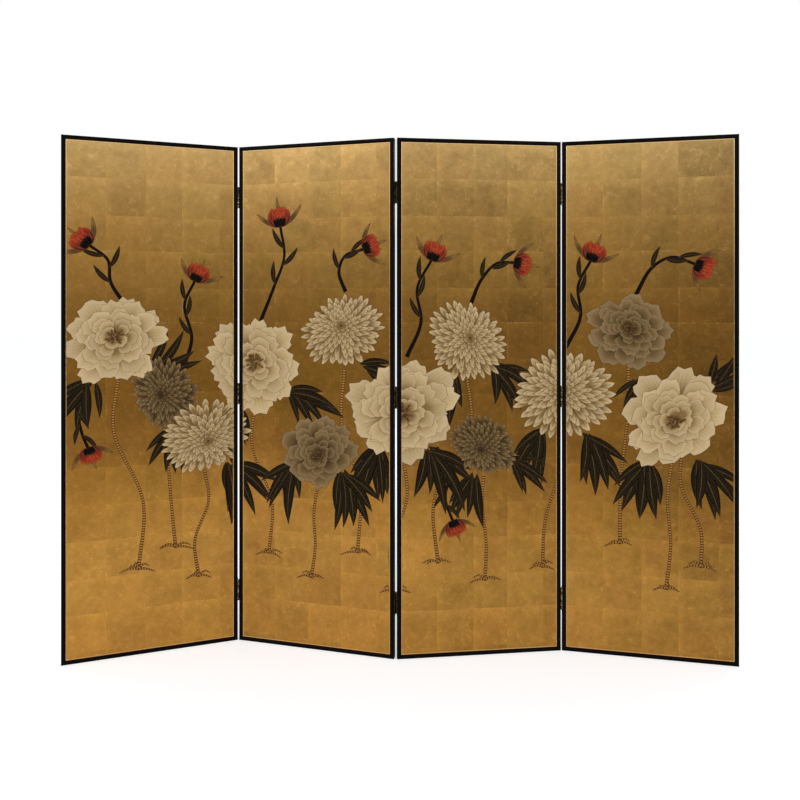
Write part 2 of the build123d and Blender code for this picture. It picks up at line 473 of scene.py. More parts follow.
@dataclass(frozen=True)
class GiltFinish:
    """Burnished gilding of the fine bead round each field; its stops, painted reflection, run from the floor
    to the top.
    """

    name: str = "burnished_gilt"
    bright: Colour = (226, 190, 132)
    stops: Stops = (
        (0.00, (196, 146, 82)), (0.25, (186, 138, 78)), (0.45, (146, 108, 58)), (0.68, (140, 106, 60)),
        (0.80, (176, 138, 84)), (1.00, (218, 178, 120)),
    )

    def material(self) -> bpy.types.Material:
        """Gilding with painted reflection over the height like the field's, with tiny rubbed flecks.

        Returns:
            The finished material.
        """
        shader = Shader(self.name, 0.34, 0.45, 0.3)
        level = shader.math("DIVIDE", shader.split(shader.place())[2], SCREEN_HEIGHT)
        fleck = shader.noise(shader.place((300, 300, 90)), 1.0, 3)
        share = shader.band(fleck, 0.35, 0.75, 0.0, 0.35)
        # Painted reflection: the ramp over the height is darker at half of the height and brightest at the
        # top.
        shader.colour(shader.mix(share, shader.ramp(level, self.stops), linear(self.bright)))
        shader.bump(fleck, 0.05 * MM)
        return shader.material


class Veins(Enum):
    """How fine lines run over a painted shape."""

    FANNED = "fine lines from base to tip"
    FEATHERED = "a midrib with slanting side veins"
    BANDED = "short dark rings along a stalk"
    PLAIN = "no lines"


@dataclass(frozen=True)
class PaintFinish:
    """Matt mineral paint on the gold, shaded from base to tip, veined, and outlined with a brush.

    The outline's width is in millimetres, and rings are counted to a centimetre.
    """

    name: str
    base: Colour
    body: Colour
    tip: Colour
    outline: Colour
    vein: Colour
    veins: Veins
    vein_share: float
    vein_count: float
    outline_width: float
    outline_share: float
    roughness: float = 0.62
    specular: float = 0.08

    def vein_mask(self, shader: Shader, along: Socket, across: Socket) -> Feed:
        """Where the lines run.

        Args:
            shader: the material being built.
            along: 0 at the base and 1 at the tip.
            across: 0 at one side and 1 at the other.

        Returns:
            A value that is 1 on a line and 0 off it.
        """
        pace = self.vein_count * 2 * math.pi
        off_middle = shader.math("ABSOLUTE", shader.math("SUBTRACT", across, 0.5))
        if self.veins is Veins.FANNED:
            wave = shader.math("COSINE", shader.times(off_middle, pace))
            return shader.times(shader.band(wave, 0.6, 1.0), shader.band(along, 1.0, 0.6))
        if self.veins is Veins.FEATHERED:
            slant = shader.math("MULTIPLY_ADD", off_middle, -2.4, along)
            wave = shader.math("COSINE", shader.times(slant, pace))
            side = shader.times(shader.band(wave, 0.86, 1.0), shader.band(off_middle, 0.46, 0.3))
            return shader.math("MAXIMUM", side, shader.band(off_middle, 0.035, 0.012))
        if self.veins is Veins.BANDED:
            return shader.band(shader.math("COSINE", shader.times(along, pace)), -0.15, 0.55)
        return 0.0

    def material(self) -> bpy.types.Material:
        """Shades the shape along its length, then lays veins, the outline and a little wear over it.

        Returns:
            The finished material.
        """
        shader = Shader(self.name, self.roughness, specular=self.specular)
        along, across, _ = shader.stroke()
        colour = shader.mix(shader.band(along, 0.5, 0.82), linear(self.base), linear(self.body))
        colour = shader.mix(shader.band(along, 0.75, 1.0), colour, linear(self.tip))
        colour = shader.mix(shader.times(shader.attribute("shade"), 0.85), colour, linear(self.base))
        wash = shader.noise(shader.place(), 42.0, 3, 0.6)
        grain = shader.noise(shader.place(), 520.0, 2, 0.6)
        value = shader.math("MULTIPLY_ADD", shader.attribute("tone"), 0.16, 0.92)
        value = shader.plus(shader.plus(value, shader.swing(wash, 0.20)), shader.swing(grain, 0.10))
        veins = shader.times(self.vein_mask(shader, along, across), self.vein_share)
        colour = shader.mix(veins, shader.scaled(colour, value), linear(self.vein))
        brush = shader.math("MULTIPLY_ADD", grain, 0.5, self.outline_width - 0.25)
        line = shader.band(shader.math("SUBTRACT", brush, shader.attribute("rim")), -0.25, 0.25)
        shader.colour(shader.mix(shader.times(line, self.outline_share), colour, linear(self.outline)))
        shader.bump(grain, 0.05 * MM)
        return shader.material


BLACK_LACQUER = LacquerFinish("frame_black_lacquer", (11, 7, 4), (46, 30, 19), 0.38, 0.03)
BACK_LACQUER = LacquerFinish("back_matt_lacquer", (24, 20, 18), (52, 36, 26), 0.6, 0.2, 0.5)
GILDERS_CLAY = LacquerFinish("gilders_clay", (96, 54, 30), (140, 92, 44), 0.6, 0.2, 0.6)
AGED_BRASS = MetalFinish("aged_hinge_brass", (158, 142, 114), (44, 37, 29), 0.38, 0.42)
PIN_BRASS = MetalFinish("rubbed_pin_brass", (184, 168, 134), (70, 60, 46), 0.32, 0.62)
SCREW_BRASS = MetalFinish("screw_brass", (180, 152, 100), (70, 56, 36), 0.34, 0.6)
PIN_STEEL = MetalFinish("pin_steel", (170, 170, 168), (80, 78, 74), 0.35, 0.6)
SOFTWOOD = SoftwoodFinish("core_softwood", (206, 172, 122), (164, 118, 70))
NODE_FINISHES = {
    "_stile": BLACK_LACQUER, "_rail": BLACK_LACQUER, "_face_board": GILDERS_CLAY, "_back_board": BACK_LACQUER,
    "_core_lattice": SOFTWOOD, "_frame_pins": PIN_STEEL, "_hinge_screws": SCREW_BRASS, "_leaf": AGED_BRASS,
    "_pins": PIN_BRASS,
}

CREAM = {"base": (130, 102, 62), "body": (181, 155, 111), "tip": (196, 171, 130), "outline": (62, 40, 20)}
GREY = {"base": (66, 48, 26), "body": (110, 86, 51), "tip": (136, 112, 76), "outline": (36, 24, 12)}
BROAD = {"veins": Veins.FANNED, "vein_count": 9.0, "outline_width": 1.35, "outline_share": 0.85}
SLIM = {"veins": Veins.FANNED, "vein_count": 1.0, "outline_width": 1.2, "outline_share": 0.85}
CREAM_BROAD = PaintFinish("cream_broad_petal_paint", **CREAM, **BROAD, vein=(112, 84, 46), vein_share=0.42)
CREAM_SLIM = PaintFinish("cream_slim_petal_paint", **CREAM, **SLIM, vein=(96, 68, 34), vein_share=0.5)
GREY_BROAD = PaintFinish("grey_broad_petal_paint", **GREY, **BROAD, vein=(52, 36, 18), vein_share=0.45)
GREY_SLIM = PaintFinish("grey_slim_petal_paint", **GREY, **SLIM, vein=(48, 34, 16), vein_share=0.5)
DARK_LEAF = PaintFinish(
    "dark_leaf_paint", (9, 6, 3), (14, 9, 5), (22, 15, 8), (98, 76, 44), (120, 96, 58), Veins.FEATHERED,
    vein_share=0.6, vein_count=6.0, outline_width=0.8, outline_share=0.5, roughness=0.5, specular=0.03)
DARK_STEM = PaintFinish(
    "dark_stem_paint", (9, 6, 4), (13, 9, 6), (18, 12, 8), (70, 52, 30), (96, 78, 50), Veins.PLAIN,
    vein_share=0.0, vein_count=1.0, outline_width=0.8, outline_share=0.5, roughness=0.5, specular=0.03)
REED_STALK = PaintFinish(
    "reed_stalk_paint", (150, 104, 48), (164, 116, 56), (164, 116, 56), (54, 26, 12), (48, 20, 10),
    Veins.BANDED, vein_share=0.92, vein_count=1.1, outline_width=1.35, outline_share=0.9, roughness=0.6)
RED_BUD = PaintFinish(
    "red_bud_paint", (84, 22, 7), (140, 42, 17), (168, 64, 32), (70, 18, 7), (206, 140, 96), Veins.FANNED,
    vein_share=0.4, vein_count=2.0, outline_width=0.8, outline_share=0.8, roughness=0.55)
OCHRE_BRACT = PaintFinish(
    "ochre_bract_paint", (92, 64, 30), (132, 98, 50), (118, 84, 42), (38, 24, 12), (66, 44, 20), Veins.FANNED,
    vein_share=0.5, vein_count=1.0, outline_width=1.1, outline_share=0.9, roughness=0.58)
PAINTS = {
    "blossoms_peony": CREAM_BROAD, "blossoms_chrysanthemum": CREAM_SLIM, "grey_blossoms_peony": GREY_BROAD,
    "grey_blossoms_chrysanthemum": GREY_SLIM, "foliage": DARK_LEAF, "stalks": REED_STALK, "grass": REED_STALK,
    "necks": DARK_STEM, "cups": DARK_STEM, "buds": RED_BUD, "bracts": OCHRE_BRACT, "stamens": OCHRE_BRACT,
}


@dataclass(frozen=True)
class LeafPlace:
    """Where the painted side of one leaf stands at rest: its lower left corner and two unit vectors."""

    number: int
    corner: np.ndarray
    along: np.ndarray
    front: np.ndarray
    width: float
    height: float

    @classmethod
    def of_board(cls, number: int, board: bpy.types.Object) -> "LeafPlace":
        """Measures the board: its long level direction is the heading of the leaf.

        Args:
            number: the leaf's number, from 1 at the left.
            board: the CAD node of its face board.

        Returns:
            The leaf's place.
        """
        points = np.zeros(len(board.data.vertices) * 3)
        board.data.vertices.foreach_get("co", points)
        points = points.reshape(-1, 3)
        level = points[:, :2] - points[:, :2].mean(axis=0)
        direction = np.linalg.svd(level, full_matrices=False)[2][0]
        direction = direction * np.sign(direction[0])
        along = np.array([direction[0], direction[1], 0.0])
        front = np.array([direction[1], -direction[0], 0.0])
        lengths = points @ along
        low = points[:, 2].min()
        corner = along * lengths.min() + front * (points @ front).max() + np.array([0, 0, low])
        return cls(number, corner, along, front, float(np.ptp(lengths)), float(np.ptp(points[:, 2])))

    @property
    def body(self) -> str:
        """The CAD body that this leaf's pieces ride on."""
        return f"panel_{self.number}"

    def points(self, x: np.ndarray, z: np.ndarray, lift: np.ndarray) -> np.ndarray:
        """Turns places on the leaf into points of the scene.

        Args:
            x: distances along the leaf.
            z: heights above the floor, of the same shape.
            lift: distances out of the painted side, of the same shape.

        Returns:
            The points, with one more dimension than x.
        """
        level = self.corner * np.array([1, 1, 0])
        up = np.array([0.0, 0.0, 1.0])
        return level + x[..., None] * self.along + z[..., None] * up + lift[..., None] * self.front


@dataclass
class PatchSet:
    """Many flakes with grids of one shape: a top, a wall round it and a flat back.

    Attributes:
        s: distance along the painting, an array of flakes x rows x columns.
        z: height above the floor, of the same shape.
        lift: height above the board's face, of the same shape.
        back: height of each flake's flat back, one number a flake.
        rim: distance to the flake's edge in millimetres, of the grids' shape.
        tone: one random number a flake.
        shade: how deep the flake lies in its flower, one number a flake.
        along: the share of the flake's length at each row, or centimetres along a stroke.
        across: the share of the flake's width at each column.
    """

    s: np.ndarray
    z: np.ndarray
    lift: np.ndarray
    back: np.ndarray
    rim: np.ndarray
    tone: np.ndarray
    shade: np.ndarray
    along: np.ndarray
    across: np.ndarray

    def chosen(self, keep: np.ndarray) -> "PatchSet":
        """The flakes for which keep is true."""
        return replace(self, **{name: getattr(self, name)[keep] for name in FLAKE_PARTS})

    def raised(self, rise: np.ndarray) -> "PatchSet":
        """The same flakes, each higher by its rise."""
        return replace(self, lift=self.lift + rise[:, None, None], back=self.back + rise)


FLAKE_PARTS = ("s", "z", "lift", "back", "rim", "tone", "shade")


def joined(sets: list[PatchSet]) -> PatchSet:
    """One set out of several whose grids have the same shape."""
    merged = {name: np.concatenate([getattr(one, name) for one in sets]) for name in FLAKE_PARTS}
    return replace(sets[0], **merged)


def flake_faces(rows: int, columns: int) -> tuple[np.ndarray, np.ndarray, np.ndarray]:
    """Faces of one closed flake whose top is a grid and whose back repeats the grid's outer points.

    Args:
        rows: points along the flake.
        columns: points across it.

    Returns:
        The quads of the top and the wall, and the loop of the back, all as point indexes, and the
        back points' own grid points: along the first row, up, back and down.
    """
    index = np.arange(rows * columns).reshape(rows, columns)
    top = np.stack([index[:-1, :-1], index[:-1, 1:], index[1:, 1:], index[1:, :-1]], axis=-1).reshape(-1, 4)
    outer = np.concatenate([index[0, :-1], index[:-1, -1], index[-1, :0:-1], index[:0:-1, 0]])
    lower = rows * columns + np.arange(len(outer))
    wall = np.stack([np.roll(outer, -1), outer, lower, np.roll(lower, -1)], axis=-1)
    return np.concatenate([top, wall]), lower[::-1], outer


@dataclass
class Relief:
    """Gathers the flakes of one leaf and one paint, and turns them into one piece.

    Attributes:
        parts: the mesh's points, loops, corner counts and values, with an array for each set of flakes.
        total: the number of points so far.
    """

    name: str
    leaf: LeafPlace
    finish: bpy.types.Material
    parts: dict[str, list[np.ndarray]] = field(default_factory=lambda: defaultdict(list))
    total: int = 0

    def add(self, flakes: PatchSet, offset: float) -> None:
        """Adds flakes, shifted from the painting to this leaf.

        Args:
            flakes: the flakes in the painting's own places.
            offset: where this leaf's field starts along the painting.
        """
        count, rows, columns = flakes.s.shape
        if count == 0:
            return
        quads, back, outer = flake_faces(rows, columns)
        each = rows * columns + len(outer)
        top = self.leaf.points(flakes.s - offset, flakes.z, flakes.lift).reshape(count, -1, 3)
        s_low = flakes.s.reshape(count, -1)[:, outer] - offset
        z_low = flakes.z.reshape(count, -1)[:, outer]
        low = self.leaf.points(s_low, z_low, np.broadcast_to(flakes.back[:, None], s_low.shape))
        starts = self.total + each * np.arange(count)
        rim = flakes.rim.reshape(count, -1)
        made = {
            "points": np.concatenate([top, low], axis=1).reshape(-1, 3),
            "loops": (starts[:, None] + np.concatenate([quads.ravel(), back])).ravel(),
            "counts": np.tile([4] * len(quads) + [len(back)], count),
            "rim": np.pad(rim, ((0, 0), (0, len(outer)))).ravel(),
            "tone": np.repeat(flakes.tone, each),
            "shade": np.repeat(flakes.shade, each),
        }
        grids = {"along": np.repeat(flakes.along, columns), "across": np.tile(flakes.across, rows)}
        made |= {key: np.tile(np.append(grid, grid[outer]), count) for key, grid in grids.items()}
        for key, part in made.items():
            self.parts[key].append(part)
        self.total += each * count

    def build(self, trim: bool = True) -> None:
        """Makes the mesh, cuts it at the sides of the field and puts it on its leaf.

        Args:
            trim: whether shapes that pass the field's sides are cut off there.
        """
        if self.total == 0:
            return
        whole = {key: np.concatenate(parts) for key, parts in self.parts.items()}
        loops = whole["loops"].astype(np.int32)
        starts = np.append(0, np.cumsum(whole["counts"])[:-1]).astype(np.int32)
        mesh = bpy.data.meshes.new(self.name)
        made = (
            (mesh.vertices, "co", whole["points"]), (mesh.loops, "vertex_index", loops),
            (mesh.polygons, "loop_start", starts),
        )
        for items, key, values in made:
            items.add(len(values))
            items.foreach_set(key, values.ravel())
        for key in ("rim", "tone", "shade"):
            mesh.attributes.new(key, "FLOAT", "POINT").data.foreach_set("value", whole[key])
        shares = np.stack([whole["along"][loops], whole["across"][loops]], axis=-1)
        mesh.uv_layers.new(name="stroke").data.foreach_set("uv", shares.ravel())
        mesh.update(calc_edges=True)
        mesh.validate()
        mesh.shade_flat()
        if trim:
            self.trim(mesh)
        add_piece(mesh, self.finish, self.leaf.body)

    def trim(self, mesh: bpy.types.Mesh) -> None:
        """Cuts the mesh with the two upright planes at the sides of the field and closes the cuts.

        Args:
            mesh: the mesh, which is changed.
        """
        work = bmesh.new()
        work.from_mesh(mesh)
        along = Vector(self.leaf.along)
        corner = Vector(self.leaf.corner)
        margin = 0.1 * MM
        for place, outward in ((margin, -along), (self.leaf.width - margin, along)):
            geometry = work.verts[:] + work.edges[:] + work.faces[:]
            cut = bmesh.ops.bisect_plane(
                work, geom=geometry, plane_co=corner + along * place, plane_no=outward, clear_outer=True)
            rims = [item for item in cut["geom_cut"] if isinstance(item, bmesh.types.BMEdge)]
            bmesh.ops.holes_fill(work, edges=[edge for edge in rims if edge.is_boundary], sides=0)
        work.to_mesh(mesh)
        work.free()


@dataclass
class GoldLeafField:
    """The squares of metal leaf on one leaf's face board, laid in rows from the top and from the left.

    Attributes:
        pitch: the size of a square less its lap.
        step: how far one layer lies above the last, so that laps don't meet.
        back: how far the squares' flat backs lie above the board.
        margin: how far they stay inside its edge.
        grid: points along a square's side.
        wobble: how far its torn edges stray.
    """

    leaf: LeafPlace
    rng: Random
    pitch: float = 127 * MM
    lap: float = 4 * MM
    step: float = 0.05 * MM
    back: float = 0.02 * MM
    margin: float = 0.1 * MM
    grid: int = 12
    wobble: float = 0.7 * MM

    def edges(self, length: float) -> np.ndarray:
        """Starts of the squares along a length, with the length itself as the last entry."""
        return np.append(np.arange(0.0, length, self.pitch), length)

    def square(self, left: float, right: float, low: float, high: float) -> tuple[np.ndarray, ...]:
        """One square as a grid whose outer points stray a little, like torn leaf.

        The edge strays by a sum of three sines with random phases, which fades towards the middle.

        Args:
            left, right, low, high: the square's box on the leaf.

        Returns:
            The x of each grid point, and its height above the board's lower edge.
        """
        share = np.linspace(0, 1, self.grid)
        across, up = np.meshgrid(share, share)
        phases = self.rng.uniform(0, 2 * np.pi, (4, 3))
        waves = np.array([2.0, 5.0, 9.0])

        def stray(line: int, place: np.ndarray) -> np.ndarray:
            """The stray of one edge at each place along it."""
            return np.sin(place[..., None] * waves + phases[line]).sum(axis=-1) * self.wobble / 2

        x = left + (right - left) * across + stray(0, up) * (1 - across) ** 2 + stray(1, up) * across ** 2
        z = low + (high - low) * up + stray(2, across) * (1 - up) ** 2 + stray(3, across) * up ** 2
        x = np.clip(x, self.margin, self.leaf.width - self.margin)
        return x, np.clip(z, self.margin, self.leaf.height - self.margin)

    def build(self, finish: bpy.types.Material) -> None:
        """Lays every square and makes the piece.

        Args:
            finish: the gold.
        """
        columns = self.edges(self.leaf.width)
        rows = self.leaf.height - self.edges(self.leaf.height)
        squares = []
        layers = []
        tones = []
        for row in range(len(rows) - 1):
            for column in range(len(columns) - 1):
                box = (columns[column], columns[column + 1] + self.lap, rows[row + 1] - self.lap, rows[row])
                squares.append(self.square(*box))
                layers.append((row % 2) * 2 + column % 2 + 1)
                tones.append(self.rng.uniform(0, 1))
        x, z = (np.stack(part) for part in zip(*squares))
        lift = self.step * np.array(layers)[:, None, None] + np.zeros_like(x)
        share = np.linspace(0, 1, self.grid)
        relief = Relief(f"{self.leaf.body}_gold_leaf", self.leaf, finish)
        relief.add(PatchSet(x, z + self.leaf.corner[2], lift, np.full(len(x), self.back), np.zeros_like(x),
                            np.array(tones), np.zeros(len(x)), share, share), 0.0)
        relief.build(trim=False)


@dataclass
class GiltBead:
    """A fine gilt bead that runs round the field where the gold meets the frame."""

    leaf: LeafPlace
    width: float = 3.0 * MM
    rise: float = 1.1 * MM
    foot: float = 0.25 * MM
    back: float = 0.03 * MM
    inset: float = 0.05 * MM
    profile_points: int = 9

    def build(self, finish: bpy.types.Material) -> None:
        """Carries a half-round profile along the field's rectangle with mitred corners.

        The profile is (w, h): w = width * (1 - cos t) / 2 and h = foot + rise * sin t for t from 0 to pi,
        closed by a flat back, and each point of it draws a rectangle that is w inside the field's edge.

        Args:
            finish: the gilding.
        """
        t = np.linspace(0, np.pi, self.profile_points)
        inward = self.inset + self.width * (1 - np.cos(t)) / 2
        inward = np.append(inward, [inward[-1], inward[0]])
        lift = np.append(self.foot + self.rise * np.sin(t), [self.back, self.back])
        x = np.stack([inward, self.leaf.width - inward, self.leaf.width - inward, inward])
        z = np.stack([inward, inward, self.leaf.height - inward, self.leaf.height - inward])
        points = self.leaf.points(x, z + self.leaf.corner[2], np.broadcast_to(lift, x.shape))
        index = np.arange(x.size).reshape(x.shape)
        after = np.roll(index, -1, axis=0)
        faces = np.stack([index, after, np.roll(after, -1, axis=1), np.roll(index, -1, axis=1)], axis=-1)
        mesh = bpy.data.meshes.new(f"{self.leaf.body}_gilt_bead")
        mesh.from_pydata(points.reshape(-1, 3).tolist(), [], faces.reshape(-1, 4).tolist())
        mesh.update()
        mesh.shade_flat()
        add_piece(mesh, finish, self.leaf.body)


SLIM_COLUMNS = np.array([-1, -0.8, 0.0, 0.8, 1])
FAN_COLUMNS = np.sin(np.linspace(-np.pi / 2, np.pi / 2, 11))


@dataclass(frozen=True)
class Flakes:
    """Makes flakes that all start at a root and point some way, as whole arrays.

    They lie like shingles, one side a little higher than the other, and are domed: the lift at w, from -1 to
    1, of the width is level + tilt * w + dome * (1 - w ** 2), and depth is how far the back lies below level.

    Attributes:
        root: the flakes' roots, an array of flakes x 2.
        angle: the direction of each flake, in radians.
        length: the length of each flake.
        level: how high they lie above the board.
        shade: how deep they lie in their flower.
    """

    rng: Random
    root: np.ndarray
    angle: np.ndarray
    length: np.ndarray
    level: float
    shade: float = 0.0
    rows: int = 8
    tilt: float = 0.035 * MM
    dome: float = 0.05 * MM
    depth: float = 0.06 * MM

    def laid(self, s: np.ndarray, z: np.ndarray, rim: np.ndarray, share: np.ndarray,
             w: np.ndarray) -> PatchSet:
        """The set whose grids are already worked out.

        Args:
            s, z: the places of the grids' points.
            rim: the distance of each point to the flake's edge.
            share: the share of the length at each row.
            w: the place across at each column, from -1 to 1.

        Returns:
            The flakes as a set.
        """
        count = len(self.length)
        lift = np.broadcast_to(self.level + self.tilt * w + self.dome * (1 - w ** 2), s.shape)
        back = np.full(count, self.level - self.depth)
        tone = self.rng.uniform(0, 1, count)
        return PatchSet(s, z, lift, back, rim / MM, tone, np.full(count, self.shade), share, (w + 1) / 2)

    def slim(self, half_width: np.ndarray, bend: np.ndarray, swell: float, roundness: float) -> PatchSet:
        """Long flakes: a curved midline with a width that swells and closes again.

        The midline leaves the root at its angle and turns by bend up to the tip. The half width at share u of
        the length is sin(pi * u ** swell) ** roundness of the widest, and never quite nothing. The rows lie
        closer together near both ends.

        Args:
            half_width: half the width of each flake at its widest.
            bend: the turn of each midline, in radians.
            swell: 1 swells in the middle, more swells nearer to the tip.
            roundness: a low power gives blunt ends, 1 gives pointed ends.

        Returns:
            The flakes as a set.
        """
        even = np.linspace(0, 1, self.rows)
        share = (even + (1 - np.cos(np.pi * even)) / 2) / 2
        turn = self.angle[:, None] + bend[:, None] * share
        step = np.diff(share, prepend=0)
        mid_s = self.root[:, :1] + np.cumsum(np.cos(turn) * step, axis=1) * self.length[:, None]
        mid_z = self.root[:, 1:] + np.cumsum(np.sin(turn) * step, axis=1) * self.length[:, None]
        wide = np.maximum(np.sin(np.pi * share ** swell), 0.0) ** roundness
        reach = (half_width[:, None] * np.maximum(wide, 0.26 * (1 - roundness) + 0.04))[..., None]
        s = mid_s[..., None] - np.sin(turn)[..., None] * reach * SLIM_COLUMNS
        z = mid_z[..., None] + np.cos(turn)[..., None] * reach * SLIM_COLUMNS
        to_end = np.minimum(share, 1 - share)[:, None] * self.length[:, None, None]
        rim = np.minimum((1 - np.abs(SLIM_COLUMNS)) * reach, to_end)
        return self.laid(s, z, rim, share, SLIM_COLUMNS)

    def fanned(self, spread: np.ndarray, wave: float) -> PatchSet:
        """Broad petals like fans with a wavy outer edge.

        A point at share u of the length and w, from -1 to 1, of the spread lies at length * u *
        (1 - 0.26 * |w| ** 2.4 + a cosine wave over w that grows towards the edge) from the root, turned by
        w * spread * (1 - 0.22 * u), so that the sides curve in.

        Args:
            spread: half the angle of each fan, in radians.
            wave: the height of the edge's waves as a share of the length.

        Returns:
            The petals as a set.
        """
        count = len(self.length)
        share = 0.08 + 0.92 * np.sin(np.linspace(0, np.pi / 2, self.rows))
        w = FAN_COLUMNS
        phase = self.rng.uniform(0, 2 * np.pi, (count, 1, 1))
        waves = self.rng.uniform(2.4, 3.8, (count, 1, 1)) * np.pi
        u = share[None, :, None]
        half = spread[:, None, None]
        edge = 1 - 0.26 * np.abs(w) ** 2.4 + wave * u ** 3 * np.cos(waves * w + phase)
        reach = self.length[:, None, None] * u * edge
        turn = self.angle[:, None, None] + half * w * (1 - 0.22 * u)
        s = self.root[:, :1, None] + reach * np.cos(turn)
        z = self.root[:, 1:, None] + reach * np.sin(turn)
        rim = np.minimum(reach * np.sin((1 - np.abs(w)) * half), (1 - u) * self.length[:, None, None])
        return self.laid(s, z, rim, share, w)


@dataclass(frozen=True)
class Habit:
    """Rings of petals from the outside in: their reach, their counts, and how far they stray in radians."""

    tips: tuple[float, ...]
    counts: tuple[int, ...]
    jitter: float


class Bloom(Enum):
    """The kinds of flower: a few rings of broad wavy petals, or many rings of long slim ones."""

    PEONY = Habit((1, 0.86, 0.71, 0.56, 0.42, 0.30), (9, 9, 8, 7, 6, 5), 0.09)
    CHRYSANTHEMUM = Habit(
        (1, 0.87, 0.74, 0.61, 0.49, 0.38, 0.28, 0.18), (31, 29, 26, 23, 19, 15, 11, 8), 0.035)


@dataclass
class Blossom:
    """A full flower seen from the front or tipped to one side. Its lift is that of its outermost petals.

    Attributes:
        squash: how narrow it looks in the direction in which it leans.
        lean: that direction, in degrees.
        edge_wave: the height of the waves at the edge of broad petals, as a share of their length.
        slim_length: the length of slim petals, as a share of the flower's radius.
        slim_width: how much of their ring they fill.
    """

    rng: Random
    kind: Bloom
    s: float
    z: float
    radius: float
    lift: float
    squash: float
    lean: float
    ring_rise: float = 0.085 * MM
    stamen_count: int = 34
    stamen_layers: int = 6
    stamen_rise: float = 0.05 * MM
    edge_wave: float = 0.045
    slim_length: float = 0.50
    slim_width: float = 0.8036

    def tipped(self, flakes: PatchSet, depth: float) -> PatchSet:
        """Squashes flakes along the lean, moves them towards it, and puts them in the flower's place.

        Args:
            flakes: flakes about the origin.
            depth: how deep they lie in the flower, from 0 at its outermost petals to 1.

        Returns:
            The flakes in place.
        """
        lean = math.radians(self.lean)
        tip = np.array([math.cos(lean), math.sin(lean)])
        side = np.array([-tip[1], tip[0]])
        flat = np.stack([flakes.s, flakes.z], axis=-1)
        toward = (flat @ tip) * self.squash + depth * (1 - self.squash) * self.radius * 0.75
        flat = toward[..., None] * tip + (flat @ side)[..., None] * side
        return replace(flakes, s=flat[..., 0] + self.s, z=flat[..., 1] + self.z)

    def ring(self, number: int, tip: float, count: int) -> PatchSet:
        """One ring of petals about the origin, with every second ring turned by half a petal.

        Broad petals start at the middle, and each spans a little more than its share of the circle. Slim
        petals are at most half of the flower's radius long, end at the ring's reach, and stand side by side.

        Args:
            number: the ring's number, from the outside in.
            tip: its reach as a share of the flower's radius.
            count: how many petals it has.

        Returns:
            The ring as a set.
        """
        depth = 1 - tip
        stray = self.rng.normal(0, self.kind.value.jitter, count)
        angle = (np.arange(count) + 0.5 * (number % 2)) * 2 * np.pi / count + stray
        reach = self.radius * tip * self.rng.uniform(0.9, 1.05, count)
        level = self.lift + number * self.ring_rise
        if self.kind is Bloom.PEONY:
            root = self.rng.normal(0, 0.03 * self.radius, (count, 2))
            spread = np.pi / count * self.rng.uniform(1.12, 1.5, count)
            return Flakes(self.rng, root, angle, reach, level, 0.35 * depth).fanned(spread, self.edge_wave)
        length = np.minimum(self.radius * self.slim_length, reach * 0.92)
        root = np.stack([np.cos(angle), np.sin(angle)], axis=-1) * (reach - length)[:, None]
        bend = self.rng.normal(0.12, 0.16, count) * (1 + depth)
        half_width = np.pi * self.radius * tip * self.slim_width / count
        half_width = half_width * self.rng.uniform(0.85, 1.1, count)
        petals = Flakes(self.rng, root, angle - bend / 2, length, level, 0.45 * depth ** 2)
        return petals.slim(half_width, bend, 1.45, 0.7)

    def petals(self) -> PatchSet:
        """Rings of petals from the outside in, each a little higher than the last.

        Returns:
            The petals of the whole flower.
        """
        habit = self.kind.value
        rings = []
        for number, (tip, count) in enumerate(zip(habit.tips, habit.counts)):
            rings.append(self.tipped(self.ring(number, tip, count), 1 - tip))
        return joined(rings)

    def stamens(self) -> PatchSet:
        """A tuft of short ochre stamens in the middle of the flower, in a few layers.

        Returns:
            The stamens as a set.
        """
        count = self.stamen_count
        angle = self.rng.uniform(0, 2 * np.pi, count)
        start = self.radius * self.rng.uniform(0.0, 0.13, count)
        root = np.stack([np.cos(angle), np.sin(angle)], axis=-1) * start[:, None]
        level = self.lift + len(self.kind.value.tips) * self.ring_rise + self.stamen_rise
        flakes = Flakes(self.rng, root, angle, np.full(count, self.radius * 0.085), level)
        flakes = flakes.slim(np.full(count, self.radius * 0.022), np.zeros(count), 1.6, 0.6)
        layer = np.arange(count) % self.stamen_layers
        return self.tipped(flakes.raised(layer * self.stamen_rise), 0.7)


def spline(knots: np.ndarray, count: int) -> np.ndarray:
    """Points of a smooth curve through the knots, evenly spaced along it.

    Each span is a cubic whose slopes at its ends are half the step between the knots on either side.

    Args:
        knots: the places that the curve passes, an array of knots x 2.
        count: how many points to return.

    Returns:
        An array of count x 2.
    """
    ends = np.concatenate([[2 * knots[0] - knots[1]], knots, [2 * knots[-1] - knots[-2]]])
    slope = (ends[2:] - ends[:-2]) / 2
    points_per_span = 24
    t = np.linspace(0, 1, points_per_span, endpoint=False)[:, None]
    spans = []
    for first in range(len(knots) - 1):
        last = first + 1
        start = (2 * t ** 3 - 3 * t ** 2 + 1) * knots[first] + (t ** 3 - 2 * t ** 2 + t) * slope[first]
        spans.append(start + (-2 * t ** 3 + 3 * t ** 2) * knots[last] + (t ** 3 - t ** 2) * slope[last])
    line = np.concatenate(spans + [knots[-1:]])
    run = np.append(0, np.cumsum(np.linalg.norm(np.diff(line, axis=0), axis=1)))
    even = np.linspace(0, run[-1], count)
    return np.stack([np.interp(even, run, line[:, 0]), np.interp(even, run, line[:, 1])], axis=-1)


